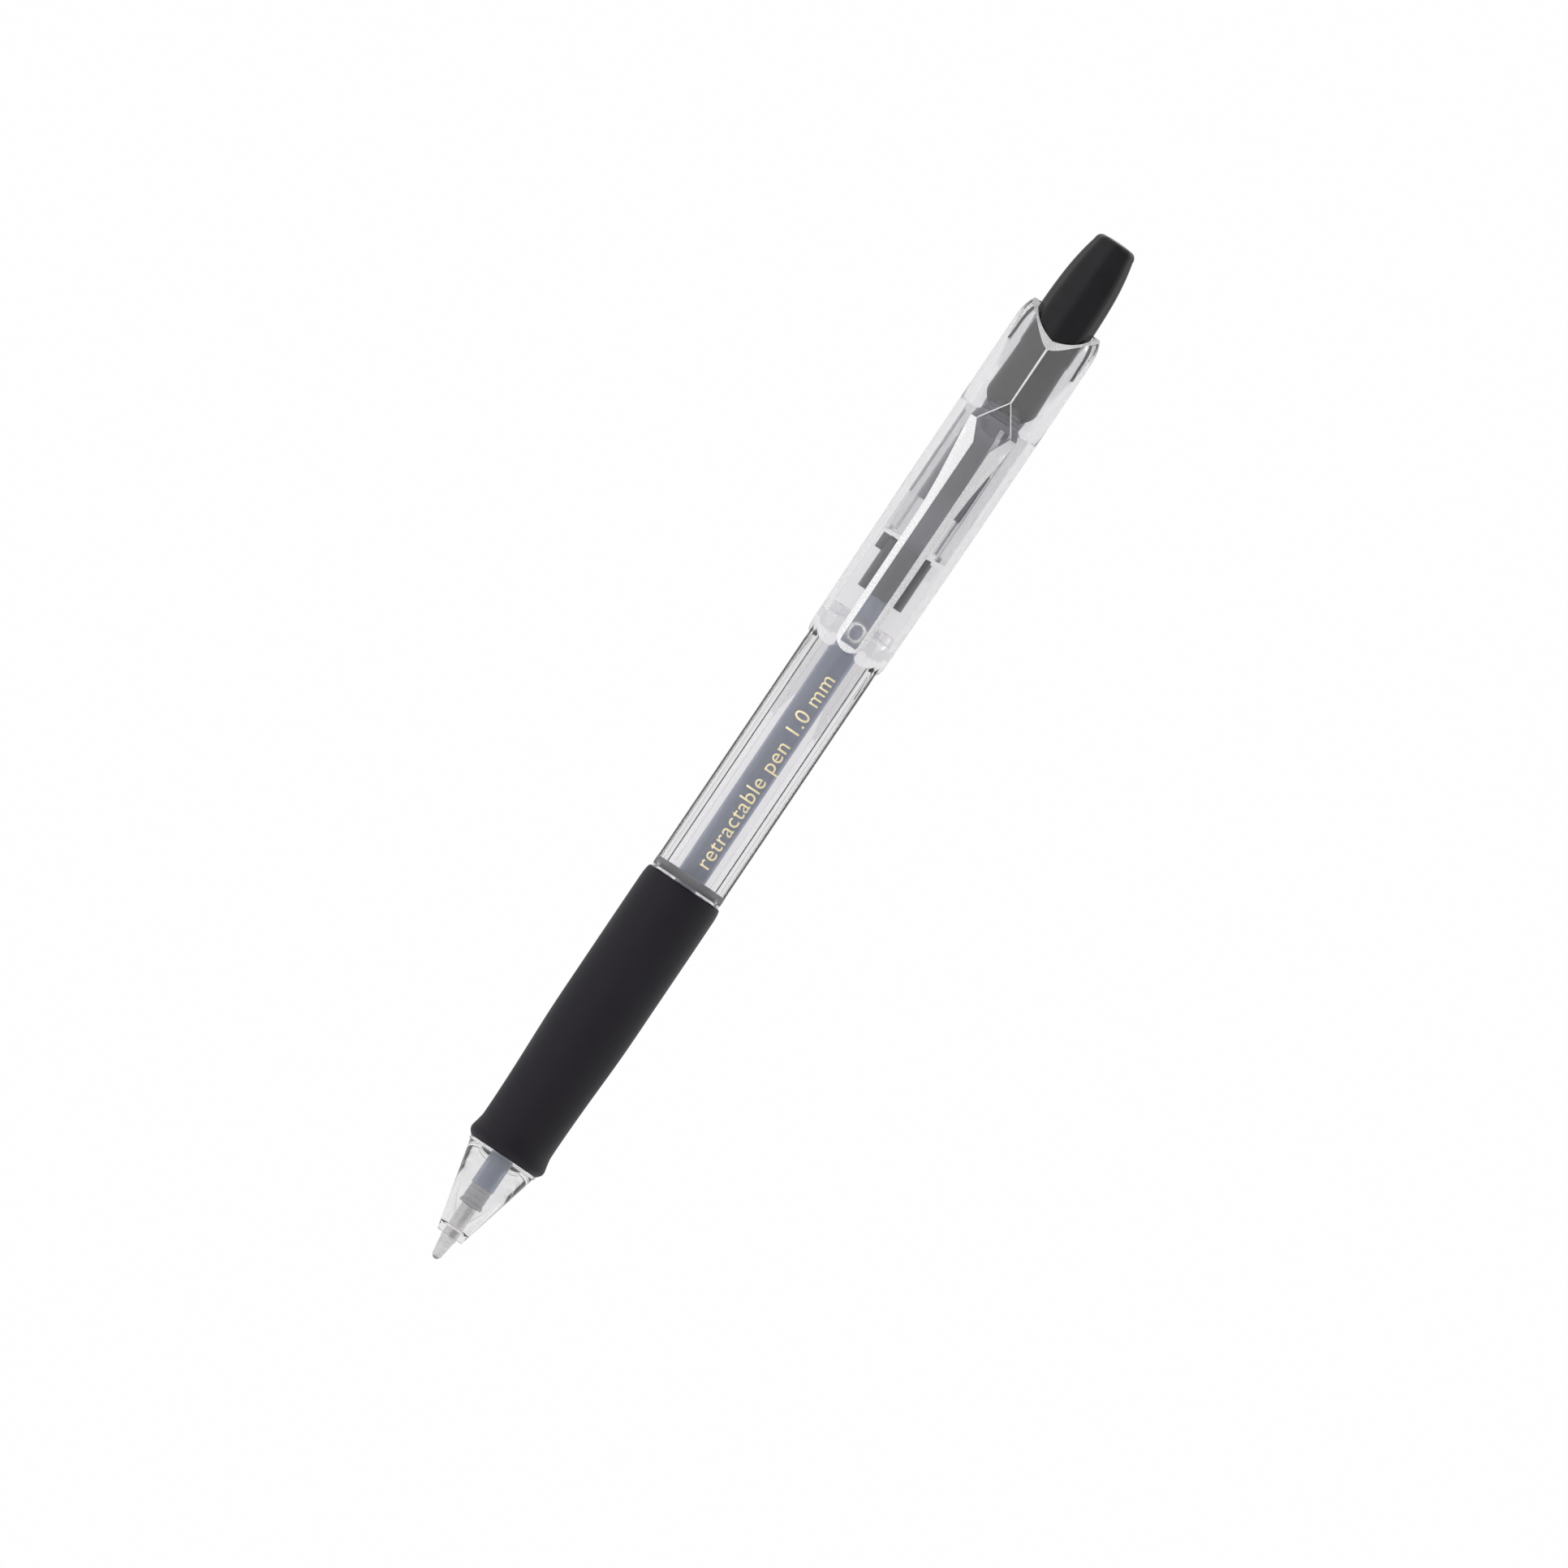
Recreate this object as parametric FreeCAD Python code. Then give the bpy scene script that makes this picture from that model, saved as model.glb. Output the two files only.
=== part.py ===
import FreeCAD, Part
import math
import os

# Retractable stick pen: clear six-sided barrel, rubber grip, clear clip sleeve and a click mechanism.
# Millimetres. The origin is the writing point, +Z runs from the nib to the button, and the clip is at -Y.
# The refill is modelled pushed out, ready to write.

V = FreeCAD.Vector
AXIS = V(0, 0, 1)

# Click mechanism travel
RETRACT = 5.0
OVER_PRESS = 0.8
RUNNING_GAP = 0.1
FIT_GAP = 0.03

# Size of the helper blocks that cut or keep part of a piece, larger than the pen is wide
WIDE = 12.0

# Refill
BALL_R = 0.5
BALL_GAP = 0.02
NIB_LIP_Z = 0.32
NIB_LIP_R = 0.58
NIB_CONE_TOP = 2.8
NIB_R = 1.0
NIB_SHOULDER = 7.55
NIB_SHANK_R = 0.72
NIB_SHANK_TOP = 9.6
INK_CHANNEL_R = 0.25
HOLDER_R = 1.36
HOLDER_FLANGE_R = 1.5
HOLDER_TOP = 10.34
HOLDER_SPIGOT_TOP = 11.2
TUBE_R = 1.5
TUBE_BORE_R = 1.05
TUBE_TOP = 96.4
INK_TOP = 88.0
FOLLOWER_LENGTH = 3.0
EAR_R = 2.35
EAR_Z = 38.0
EAR_LENGTH = 1.2
EAR_WIDTH = 1.6

# Nose cone
NOSE_FRONT = 3.17
NOSE_FRONT_R = 1.72
NOSE_HOLE_R = 1.15
NOSE_STEP_Z = 4.2
NOSE_BACK = 14.2
NOSE_BACK_R = 4.45
NOSE_BORE_R = 2.85
NOSE_BORE_Z = 10.3
FLANGE_R = 4.62
FLANGE_TOP = 14.6
NOSE_SPIGOT_R = 3.25
NOSE_SPIGOT_TOP = 19.9

# Rubber grip
GRIP_LOW = 14.6
GRIP_HIGH = 53.0
GRIP_LIP_R = 5.15
GRIP_WAIST_R = 4.80
GRIP_R = 4.97
GRIP_STRAIGHT_Z = 38.0
GRIP_BORE_R = 3.83

# Barrel
SEAT_R = 3.80
SPRING_BORE_R = 2.75
WEB_LOW = 20.0
WEB_HIGH = 21.5
WEB_HOLE_R = 1.75
BARREL_FLANGE_R = 4.74
BODY_LOW = 53.4
BORE_STEP_LOW = 53.45
BORE_STEP_TOP = 54.5
GROOVE_R = 4.4
HEX_FLAT = 4.77
HEX_CORNER_R = 5.3
HEX_TOP = 87.5
BARREL_BORE_R = 3.0
COLLAR_LOW = 86.2
COLLAR_R = 5.2
COLLAR_TOP = 89.7
SPIGOT_R = 4.3
SPIGOT_TOP = 91.2

# Clip sleeve: tube, faceted head and the mouth for the button
SLEEVE_LOW = 89.74
SLEEVE_LOW_R = 5.2
SLEEVE_TAPER_TOP = 108.0
SLEEVE_R = 5.36
SLEEVE_BORE_R = 4.34
SLEEVE_SHOULDER = 119.5
HEAD_LOW = 118.6
HEAD_RIDGE_LOW_Y = -6.35
HEAD_PEAK_Z = 122.0
HEAD_PEAK_Y = -6.9
HEAD_BORE_R = 3.95
RIM_ROUND_LOW = 131.0
RIM_R = 4.35
RIM_Z = 134.1
MOUTH_FRONT_Z = 129.7
MOUTH_FRONT_Y = -5.8
MOUTH_SIDE_RISE = 0.23
MOUTH_BACK_RISE = 0.65

# Clip tongue, in one piece with the sleeve; Y runs from its inner face out to its rib
CLIP_END_Z = 86.7
CLIP_HALF_WIDTH = 1.95
CLIP_RIB_HALF_WIDTH = 1.115
CLIP_INNER_Y = -6.25
CLIP_FLARE_Z = 108.0
CLIP_ROOT_Z = 115.8
CLIP_BLEND_Z = 118.3
CLIP_TOP_Z = 124.0
BEAD_R = 1.25
BEAD_Y = -6.68
BEAD_ABOVE_END = 2.6

# Cam tube, rotor, thruster
FIN_COUNT = 3
FIRST_FIN_ANGLE = 180.0
FIN_R = 3.94
FIN_WIDTH = 1.3
CAM_LOW = 101.5
CAM_SLOPE = 0.8
CAM_TOP = 119.3
CAM_R = 4.3
CAM_RIB_R = 3.2
SLOT_WIDTH = 1.8
SLOT_TOP = 118.5
ROTOR_LOW = 94.2
ROTOR_R = 3.07
ROTOR_FLOOR = 100.6
ROTOR_WELL_R = 1.75
ROTOR_CROWN = 101.4
ROTOR_FIN_LOW = 99.1
TOOTH_HEIGHT = 0.6
NECK_LOW = 100.75
NECK_R = 1.63
NOTCH = 0.6
THRUSTER_LOW = 106.85
THRUSTER_TOP = 119.6
THRUSTER_FIN_TOP = SLOT_TOP - RETRACT - RUNNING_GAP
STEM_R = 2.45
STEM_TOP = 130.8

# Push button
BUTTON_LOW = CAM_TOP + OVER_PRESS + 1.5 * RUNNING_GAP
BUTTON_TOP = 145.0
CAP_LOW = 129.0
SKIRT_R = 3.5
SKIRT_END_R = 3.6
SOCKET_R = STEM_R + FIT_GAP
SOCKET_TOP = 131.0
BUTTON_RIDGE_Y = 3.8
BUTTON_SHOULDER_X = 2.75
BUTTON_SHOULDER_Y = 2.65
BUTTON_SIDE_X = 3.72
BUTTON_SIDE_Y = 0.9
BUTTON_EDGE_R = 0.9

# Return spring
SPRING_WIRE_R = 0.175
SPRING_COIL_R = 2.1
SPRING_TURNS = 9


def turned(points):
    """Solid turned about Z from a closed outline of (radius, height) points."""
    outline = [V(r, 0, z) for r, z in points]
    face = Part.Face(Part.makePolygon(outline + outline[:1]))
    return outward(face.revolve(V(0, 0, 0), AXIS, 360))


def turned_curve(edges):
    """Solid turned about Z from connected edges in the XZ plane."""
    face = Part.Face(Part.Wire(Part.__sortEdges__(edges)))
    return outward(face.revolve(V(0, 0, 0), AXIS, 360))


def outward(solid):
    """The same solid with its faces pointing out."""
    if solid.Volume < 0:
        solid.reverse()
    return solid


def disc(radius, low, high):
    """Round bar on the axis."""
    return Part.makeCylinder(radius, high - low, V(0, 0, low))


def tube(outer, inner, low, high):
    """Round tube on the axis."""
    return disc(outer, low, high).cut(disc(inner, low - 1, high + 1))


def around(shape, turn=0.0):
    """Copies of a shape that points towards +X, one at each fin's angle plus a turn."""
    copies = []
    for i in range(FIN_COUNT):
        copy = shape.copy()
        copy.rotate(V(0, 0, 0), AXIS, FIRST_FIN_ANGLE + turn + 360.0 * i / FIN_COUNT)
        copies.append(copy)
    return copies


def fin(inner, low, high, width=FIN_WIDTH):
    """Radial fin towards +X, cut to the fin radius."""
    block = Part.makeBox(FIN_R, width, high - low, V(inner, -width / 2, low))
    return block.common(disc(FIN_R, low, high))


def flank(low, high, reach, height):
    """Wedge along +X whose lower face slopes from low up to high across one fin's share of the circle."""
    half = reach * math.sin(math.pi / FIN_COUNT)
    outline = [V(0, -half, low), V(0, half, high), V(0, half, low + height), V(0, -half, low + height)]
    face = Part.Face(Part.makePolygon(outline + outline[:1]))
    return outward(face.extrude(V(reach + 1, 0, 0)))


def line(start, end):
    """Straight edge between two (radius, height) points."""
    return Part.makeLine(V(start[0], 0, start[1]), V(end[0], 0, end[1]))


def smooth(points):
    """Curved edge through (radius, height) points."""
    curve = Part.BSplineCurve()
    curve.interpolate([V(r, 0, z) for r, z in points])
    return curve.toShape()


def make_writing_ball():
    return Part.makeSphere(BALL_R, V(0, 0, BALL_R))


def make_nib_tip():
    """Turned metal nib: cone with a spun lip round the ball, straight body, thin shank for the holder."""
    body = turned([
        (0, NIB_LIP_Z),
        (NIB_LIP_R, NIB_LIP_Z),
        (NIB_R - 0.12, NIB_CONE_TOP - 0.35),
        (NIB_R, NIB_CONE_TOP),
        (NIB_R, NIB_SHOULDER),
        (NIB_SHANK_R, NIB_SHOULDER),
        (NIB_SHANK_R, NIB_SHANK_TOP),
        (0, NIB_SHANK_TOP),
    ])
    socket = Part.makeSphere(BALL_R + BALL_GAP, V(0, 0, BALL_R))
    channel = disc(INK_CHANNEL_R, BALL_R, NIB_SHANK_TOP + 1)
    return body.cut(socket).cut(channel)


def make_tip_holder():
    """Plastic holder: small front flange, straight body, spigot that plugs into the tube."""
    body = turned([
        (0, NIB_SHOULDER + 0.02),
        (HOLDER_FLANGE_R, NIB_SHOULDER + 0.02),
        (HOLDER_FLANGE_R, NIB_SHOULDER + 0.45),
        (HOLDER_R, NIB_SHOULDER + 0.6),
        (HOLDER_R, HOLDER_TOP - 0.02),
        (TUBE_BORE_R - FIT_GAP, HOLDER_TOP - 0.02),
        (TUBE_BORE_R - FIT_GAP, HOLDER_SPIGOT_TOP - 0.2),
        (TUBE_BORE_R - 0.2, HOLDER_SPIGOT_TOP),
        (0, HOLDER_SPIGOT_TOP),
    ])
    shank_hole = disc(NIB_SHANK_R + 0.02, NIB_SHOULDER - 1, NIB_SHANK_TOP + 0.05)
    channel = disc(2 * INK_CHANNEL_R, NIB_SHANK_TOP, HOLDER_SPIGOT_TOP + 1)
    return body.cut(shank_hole).cut(channel)


def make_refill_tube():
    """Ink tube with two pinched ears that the spring pushes on."""
    body = tube(TUBE_R, TUBE_BORE_R, HOLDER_TOP, TUBE_TOP)
    ears = Part.makeBox(2 * EAR_R, EAR_WIDTH, EAR_LENGTH, V(-EAR_R, -EAR_WIDTH / 2, EAR_Z))
    ears = ears.common(tube(EAR_R, TUBE_BORE_R + 0.1, EAR_Z, EAR_Z + EAR_LENGTH))
    return body.fuse(ears).removeSplitter()


def make_ink_column():
    """Ink from the ball's socket, through the nib and holder, up the tube."""
    return turned([
        (0, 2 * BALL_R + 0.1),
        (INK_CHANNEL_R - 0.02, 2 * BALL_R + 0.1),
        (INK_CHANNEL_R - 0.02, NIB_SHANK_TOP + 0.1),
        (2 * INK_CHANNEL_R - 0.03, NIB_SHANK_TOP + 0.1),
        (2 * INK_CHANNEL_R - 0.03, HOLDER_SPIGOT_TOP + 0.05),
        (TUBE_BORE_R - 0.02, HOLDER_SPIGOT_TOP + 0.05),
        (TUBE_BORE_R - 0.02, INK_TOP),
        (0, INK_TOP),
    ])


def make_ink_follower():
    """Grease plug on top of the ink."""
    return disc(TUBE_BORE_R - 0.02, INK_TOP + 0.02, INK_TOP + FOLLOWER_LENGTH)


def make_return_spring():
    """Compression spring between the barrel's web and the tube's ears."""
    low = WEB_HIGH + SPRING_WIRE_R + 0.05
    high = EAR_Z - SPRING_WIRE_R - 0.05
    pitch = (high - low) / SPRING_TURNS
    helix = Part.makeHelix(pitch, high - low, SPRING_COIL_R)
    ring = Part.Wire(Part.makeCircle(SPRING_WIRE_R, V(SPRING_COIL_R, 0, 0), V(0, 1, 0)))
    spring = Part.Wire(helix).makePipeShell([ring], True, True)
    spring.translate(V(0, 0, low))
    return outward(spring)


def make_nose_cone():
    """Clear nose: straight taper, thin flange in front of the grip, spigot inside the barrel."""
    return turned([
        (NOSE_HOLE_R, NOSE_FRONT),
        (NOSE_FRONT_R - 0.15, NOSE_FRONT),
        (NOSE_FRONT_R, NOSE_FRONT + 0.15),
        (NOSE_FRONT_R + 0.18, NOSE_FRONT + 0.75),
        (NOSE_BACK_R, NOSE_BACK),
        (FLANGE_R, NOSE_BACK),
        (FLANGE_R, FLANGE_TOP - 0.02),
        (NOSE_SPIGOT_R, FLANGE_TOP - 0.02),
        (NOSE_SPIGOT_R, NOSE_SPIGOT_TOP - 0.2),
        (NOSE_SPIGOT_R - 0.2, NOSE_SPIGOT_TOP),
        (NOSE_BORE_R, NOSE_SPIGOT_TOP),
        (NOSE_BORE_R, NOSE_BORE_Z),
        (NOSE_HOLE_R + 0.35, NOSE_STEP_Z + 0.3),
        (NOSE_HOLE_R, NOSE_STEP_Z),
    ])


def make_rubber_grip():
    """Rubber sleeve: rolled front lip, shallow waist, straight rear stretch, rounded back edge."""
    lip = smooth([
        (GRIP_BORE_R + 0.75, GRIP_LOW),
        (GRIP_LIP_R - 0.13, GRIP_LOW + 0.5),
        (GRIP_LIP_R, GRIP_LOW + 1.0),
        (GRIP_LIP_R - 0.18, GRIP_LOW + 1.9),
        (GRIP_WAIST_R, GRIP_LOW + 3.0),
        (GRIP_WAIST_R + 0.06, GRIP_LOW + 9.0),
        (GRIP_R - 0.03, GRIP_STRAIGHT_Z - 6.0),
        (GRIP_R, GRIP_STRAIGHT_Z),
    ])
    back = smooth([
        (GRIP_R, GRIP_HIGH - 1.6),
        (GRIP_R - 0.05, GRIP_HIGH - 0.7),
        (GRIP_R - 0.22, GRIP_HIGH),
    ])
    edges = [
        line((GRIP_BORE_R, GRIP_LOW), (GRIP_BORE_R + 0.75, GRIP_LOW)),
        lip,
        line((GRIP_R, GRIP_STRAIGHT_Z), (GRIP_R, GRIP_HIGH - 1.6)),
        back,
        line((GRIP_R - 0.22, GRIP_HIGH), (GRIP_BORE_R, GRIP_HIGH)),
        line((GRIP_BORE_R, GRIP_HIGH), (GRIP_BORE_R, GRIP_LOW)),
    ]
    return turned_curve(edges)


def hexagon_bar(flat, low, high):
    """Six-sided bar with flats at +X and -X, and a corner towards the clip."""
    corner = flat / math.cos(math.radians(30))
    angles = [math.radians(30 + 60 * i) for i in range(6)]
    outline = [V(corner * math.cos(a), corner * math.sin(a), low) for a in angles]
    face = Part.Face(Part.makePolygon(outline + outline[:1]))
    return outward(face.extrude(V(0, 0, high - low)))


def make_barrel():
    """Clear barrel: seat tube, grip flange, six-sided body, bull-nosed collar and spigot, bored through.

    A conical groove in the bore, just behind the grip, shows as a dark ring through the wall.
    """
    seat = disc(SEAT_R, FLANGE_TOP, BODY_LOW)
    flange = disc(BARREL_FLANGE_R, GRIP_HIGH + 0.02, BODY_LOW)
    body = hexagon_bar(HEX_FLAT, BODY_LOW, HEX_TOP)
    body = body.common(disc(HEX_CORNER_R, BODY_LOW, HEX_TOP))
    collar = turned([
        (0, COLLAR_LOW),
        (COLLAR_R - 0.65, COLLAR_LOW),
        (COLLAR_R - 0.38, COLLAR_LOW + 0.35),
        (COLLAR_R - 0.17, COLLAR_LOW + 0.8),
        (COLLAR_R - 0.04, COLLAR_LOW + 1.3),
        (COLLAR_R, COLLAR_LOW + 1.8),
        (COLLAR_R, COLLAR_TOP),
        (SPIGOT_R, COLLAR_TOP),
        (SPIGOT_R, SPIGOT_TOP - 0.25),
        (SPIGOT_R - 0.25, SPIGOT_TOP),
        (0, SPIGOT_TOP),
    ])
    bore = turned([
        (0, WEB_HIGH),
        (SPRING_BORE_R, WEB_HIGH),
        (SPRING_BORE_R, BORE_STEP_LOW),
        (BARREL_BORE_R + 0.2, BORE_STEP_LOW),
        (GROOVE_R, BORE_STEP_TOP),
        (BARREL_BORE_R, BORE_STEP_TOP),
        (BARREL_BORE_R, SPIGOT_TOP + 1),
        (0, SPIGOT_TOP + 1),
    ])
    front = disc(NOSE_SPIGOT_R + FIT_GAP, FLANGE_TOP - 1, WEB_LOW)
    hole = disc(WEB_HOLE_R, WEB_LOW - 1, WEB_HIGH + 1)
    whole = seat.fuse([flange, body, collar]).removeSplitter()
    return whole.cut([bore, front, hole])


def clip_section(z, half_width, rib_half_width, front, bevel, inner, back_half_width):
    """Closed six-point section of the clip at one height: flat rib in front, bevelled sides, flat back."""
    outline = [
        V(-back_half_width, inner, z),
        V(-half_width, bevel, z),
        V(-rib_half_width, front, z),
        V(rib_half_width, front, z),
        V(half_width, bevel, z),
        V(back_half_width, inner, z),
    ]
    return Part.makePolygon(outline + outline[:1])


def facet_section(z, ridge, facet_half_width):
    """Closed section of the space in front of the head's two facets, which meet at the ridge."""
    side = -math.sqrt(SLEEVE_R ** 2 - facet_half_width ** 2)
    slope = (side - ridge) / facet_half_width
    back = ridge + slope * WIDE
    front = -2 * WIDE
    outline = [V(-WIDE, back, z), V(0, ridge, z), V(WIDE, back, z), V(WIDE, front, z), V(-WIDE, front, z)]
    return Part.makePolygon(outline + outline[:1])


def make_clip():
    """Clip tongue: straight rib, bevels, flared root, rounded end, and a bead that grips the pocket."""
    width = CLIP_HALF_WIDTH
    rib = CLIP_RIB_HALF_WIDTH
    sections = [
        clip_section(CLIP_END_Z - 0.5, width, rib, -7.25, -6.75, CLIP_INNER_Y, rib),
        clip_section(CLIP_FLARE_Z, width + 0.15, rib, -7.75, -7.0, CLIP_INNER_Y, rib),
        clip_section(CLIP_ROOT_Z, 2.85, rib, -7.85, -6.85, CLIP_INNER_Y + 0.1, 2 * rib),
        clip_section(CLIP_BLEND_Z, 3.3, 2 * rib, -7.55, -6.5, -4.0, 3.1),
        clip_section(CLIP_TOP_Z, 3.4, 0.6, MOUTH_FRONT_Y, -3.5, -3.2, 3.3),
    ]
    tongue = outward(Part.makeLoft(sections, True, True))
    end_z = CLIP_END_Z + width
    end = Part.makeCylinder(width, WIDE, V(0, 0, end_z), V(0, -1, 0))
    rest = Part.makeBox(WIDE, WIDE, RIM_Z - end_z, V(-WIDE / 2, -WIDE, end_z))
    bead = Part.makeSphere(BEAD_R, V(0, BEAD_Y, CLIP_END_Z + BEAD_ABOVE_END))
    inside = Part.makeBox(WIDE, WIDE, WIDE, V(-WIDE / 2, CLIP_INNER_Y - 0.2, CLIP_END_Z))
    return tongue.common(end.fuse(rest)).fuse(bead.common(inside))


def make_clip_sleeve():
    """Clear upper sleeve with its faceted head and the clip, in one moulding."""
    outside = turned([
        (0, SLEEVE_LOW),
        (SLEEVE_LOW_R, SLEEVE_LOW),
        (SLEEVE_R, SLEEVE_TAPER_TOP),
        (SLEEVE_R, RIM_ROUND_LOW),
        (SLEEVE_R - 0.18, RIM_ROUND_LOW + 1.0),
        (SLEEVE_R - 0.38, RIM_ROUND_LOW + 2.0),
        (SLEEVE_R - 0.64, RIM_ROUND_LOW + 2.7),
        (RIM_R, RIM_Z),
        (0, RIM_Z),
    ])
    ridge_width = 2 * HEAD_BORE_R
    ridge_height = MOUTH_FRONT_Z + 2 - HEAD_LOW
    front = Part.makeBox(ridge_width, ridge_width, ridge_height, V(-HEAD_BORE_R, -ridge_width, HEAD_LOW))
    facets = [
        facet_section(HEAD_LOW - 0.1, HEAD_RIDGE_LOW_Y, 3.3),
        facet_section(HEAD_PEAK_Z, HEAD_PEAK_Y, 3.75),
        facet_section(MOUTH_FRONT_Z, MOUTH_FRONT_Y, 4.85),
        facet_section(RIM_Z + 1, MOUTH_FRONT_Y + 0.8, 5.1),
    ]
    space = outward(Part.makeLoft(facets, True, True))
    whole = outside.fuse(front).cut(space).fuse(make_clip())
    bore = disc(SLEEVE_BORE_R, SLEEVE_LOW - 1, SLEEVE_SHOULDER)
    mouth = disc(HEAD_BORE_R, SLEEVE_SHOULDER - 1, RIM_Z + 1)
    return whole.cut([bore, mouth] + mouth_planes()).removeSplitter()


def mouth_planes():
    """Two wedges above the sloping planes of the button's mouth, which meet in line with the front ridge."""
    wedges = []
    for side in (-WIDE, WIDE):
        corners = []
        for x, y in ((0, -WIDE), (side, -WIDE), (side, WIDE), (0, WIDE)):
            z = MOUTH_FRONT_Z + MOUTH_SIDE_RISE * abs(x) + MOUTH_BACK_RISE * (y - MOUTH_FRONT_Y)
            corners.append(V(x, y, z))
        face = Part.Face(Part.makePolygon(corners + corners[:1]))
        wedges.append(outward(face.extrude(V(0, 0, 2 * WIDE))))
    return wedges


def make_cam_tube():
    """Clear guide insert: three ribs with slots between them, joined by a ring at the top."""
    body = tube(CAM_R, CAM_RIB_R, CAM_LOW, CAM_TOP)
    slot_height = SLOT_TOP - CAM_LOW + 1
    slot = Part.makeBox(CAM_R + 1, SLOT_WIDTH, slot_height, V(0, -SLOT_WIDTH / 2, CAM_LOW - 1))
    rib_end = flank(CAM_LOW, CAM_LOW + CAM_SLOPE, CAM_R, -1)
    return body.cut(around(slot) + around(rib_end, 180.0))


def make_cam_rotor():
    """Ratchet rotor: cup for the refill's tail, toothed crown round a well for the neck, and three fins."""
    body = disc(ROTOR_R, ROTOR_LOW, ROTOR_CROWN)
    fins = around(fin(ROTOR_WELL_R + 0.5, ROTOR_FIN_LOW, ROTOR_CROWN))
    whole = body.fuse(fins).removeSplitter()
    cup = disc(TUBE_R + FIT_GAP, ROTOR_LOW - 1, TUBE_TOP + 0.02)
    well = disc(ROTOR_WELL_R, ROTOR_FLOOR, ROTOR_CROWN + 1)
    teeth = around(flank(ROTOR_CROWN - TOOTH_HEIGHT, ROTOR_CROWN, FIN_R, 3))
    return whole.cut([cup, well] + teeth)


def make_thruster():
    """Plunger: notched neck that bears on the rotor, finned body, and a stem that plugs into the button."""
    neck = disc(NECK_R, NECK_LOW, THRUSTER_LOW + 0.1)
    notch = Part.makeBox(NECK_R, NOTCH, NOTCH, V(NOTCH, -NOTCH / 2, NECK_LOW - NOTCH / 2))
    neck = neck.cut(around(notch))
    body = disc(ROTOR_R, THRUSTER_LOW, THRUSTER_TOP)
    fins = around(fin(ROTOR_R - 0.5, THRUSTER_LOW, THRUSTER_FIN_TOP))
    stem = disc(STEM_R, THRUSTER_TOP - 0.1, STEM_TOP)
    return neck.fuse([body, stem] + fins).removeSplitter()


def button_section(z, scale):
    """Closed eight-sided section of the button: ridges at front and back, bevels, narrow sides."""
    quarter = [
        (0.0, BUTTON_RIDGE_Y),
        (BUTTON_SHOULDER_X, BUTTON_SHOULDER_Y),
        (BUTTON_SIDE_X, BUTTON_SIDE_Y),
    ]
    right = [(x, -y) for x, y in quarter] + [(x, y) for x, y in reversed(quarter)]
    left = [(-x, y) for x, y in reversed(right[1:-1])]
    outline = [V(x * scale, y * scale, z) for x, y in right + left]
    return Part.makePolygon(outline + outline[:1])


def make_push_button():
    """Faceted button that narrows to a rounded end, on a round skirt with a rounded lower edge."""
    sections = [
        button_section(CAP_LOW, 0.985),
        button_section(RIM_Z, 1.0),
        button_section(BUTTON_TOP - 6.2, 0.95),
        button_section(BUTTON_TOP - 3.0, 0.84),
        button_section(BUTTON_TOP, 0.66),
    ]
    cap = outward(Part.makeLoft(sections, True, False))
    top_edges = [e for e in cap.Edges if e.BoundBox.ZMin > BUTTON_TOP - 0.01]
    cap = cap.makeFillet(BUTTON_EDGE_R, top_edges)
    skirt = disc(SKIRT_R, BUTTON_LOW, CAP_LOW + 1)
    end_z = BUTTON_LOW + SKIRT_END_R
    round_end = Part.makeCylinder(SKIRT_END_R, WIDE, V(0, -WIDE / 2, end_z), V(0, 1, 0))
    above = Part.makeBox(WIDE, WIDE, WIDE, V(-WIDE / 2, -WIDE / 2, end_z))
    skirt = skirt.common(round_end.fuse(above))
    socket = disc(SOCKET_R, BUTTON_LOW - 1, SOCKET_TOP)
    return cap.fuse(skirt).removeSplitter().cut(socket)


PIECES = {
    "nose_cone": make_nose_cone,
    "barrel": make_barrel,
    "rubber_grip": make_rubber_grip,
    "clip_sleeve": make_clip_sleeve,
    "cam_tube": make_cam_tube,
    "push_button": make_push_button,
    "thruster": make_thruster,
    "cam_rotor": make_cam_rotor,
    "return_spring": make_return_spring,
    "refill_tube": make_refill_tube,
    "ink_column": make_ink_column,
    "ink_follower": make_ink_follower,
    "tip_holder": make_tip_holder,
    "nib_tip": make_nib_tip,
    "writing_ball": make_writing_ball,
}

os.makedirs("parts", exist_ok=True)
for name, make in PIECES.items():
    make().exportStep(f"parts/{name}.step")
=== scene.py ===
import math

import bmesh
import bpy
from mathutils import Matrix, Vector


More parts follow.
